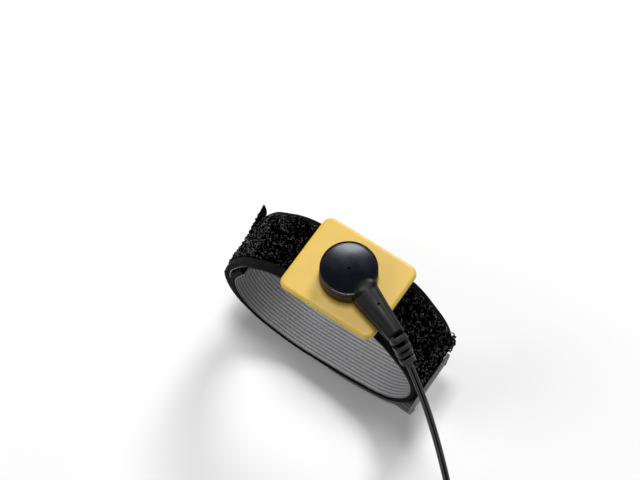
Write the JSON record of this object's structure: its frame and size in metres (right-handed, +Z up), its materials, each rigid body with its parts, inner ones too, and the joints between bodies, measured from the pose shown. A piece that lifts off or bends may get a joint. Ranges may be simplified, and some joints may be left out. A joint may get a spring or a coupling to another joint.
{
  "type": "esd wrist strap",
  "caption": "Closed pile-webbing wrist band with a rectangular cover plate and a press-on swivelling plug, whose thin twin cord ends in a pin plug and a spring clip.",
  "frame": {"origin": "on the surface the loop stands on, under the axis of the snap", "axes": "+Z up through the snap stud, +X across the wrist along the strap, +Y along the forearm towards the hand"},
  "size_m": [0.0993, 0.0914, 0.0576],
  "materials": {
    "pile_webbing": "loop pile over a woven base",
    "conductive_knit": "silver-grey knitted",
    "tab_webbing": "smooth woven back",
    "yellow_cover": "fine satin moulded",
    "stainless": "brushed",
    "nickel": "bright plated",
    "spring_steel": "drawn wire",
    "plug_shell": "satin moulded",
    "plug_cap": "satin moulded",
    "brass": "tinned",
    "resistor_body": "lacquered",
    "relief_rubber": "matt moulded",
    "copper": "stranded copper",
    "cord_jacket": "glossy extruded",
    "tie": "flat tie",
    "banana_grip": "moulded",
    "clip_steel": "nickel-plated sheet"
  },
  "bodies": {
    "strap": {"strap_band": "pile_webbing", "conductive_lining": "conductive_knit", "tab_sewn_end": "tab_webbing", "cover_plate": "yellow_cover", "skin_plate": "stainless", "snap_stud": "nickel", "stud_rivet": "nickel"},
    "tab": {"hook_tab": "tab_webbing"},
    "snap_ring": {"socket_spring": "spring_steel"},
    "plug": {"plug_base": "plug_shell", "arm_cover": "plug_shell", "plug_cap": "plug_cap", "snap_socket": "nickel", "contact_lug": "brass", "limit_resistor": "resistor_body", "crimp_ferrule": "brass", "strain_relief": "relief_rubber", "inner_conductor": "copper", "cord": "cord_jacket", "cord_coil": "cord_jacket", "cord_tail": "cord_jacket", "coil_tie": "tie", "banana_pin": "nickel", "banana_spring": "spring_steel", "banana_grip": "banana_grip", "banana_relief": "relief_rubber"},
    "clip": {"clip_lower_jaw": "clip_steel", "clip_pivot_pin": "clip_steel", "clip_spring": "spring_steel"},
    "clip_jaw": {"clip_upper_jaw": "clip_steel"}
  },
  "joints": [
    {"name": "tab_peel", "type": "hinge", "parent": "strap", "child": "tab", "pos_m": [0.0256, 0, 0.01026], "axis": [0, 1, 0], "range_deg": [0, 62]},
    {"name": "snap_off", "type": "slide", "parent": "strap", "child": "snap_ring", "axis": [0, 0, 1], "range_m": [0, 0.015], "deforming": ["socket_spring"]},
    {"name": "plug_swivel", "type": "hinge", "parent": "snap_ring", "child": "plug", "pos_m": [0, 0, 0.052], "axis": [0, 0, 1], "continuous": true},
    {"name": "clip_off", "type": "slide", "parent": "plug", "child": "clip", "axis": [-1, 0, 0], "range_m": [0, 0.024]},
    {"name": "clip_open", "type": "hinge", "parent": "clip", "child": "clip_jaw", "pos_m": [-0.0035, -0.075, 0.0052], "axis": [0, 1, 0], "range_deg": [0, 16], "stiffness_Nm_per_rad": 0.02, "springref_deg": -22.92, "deforming": ["clip_spring"]}
  ]
}
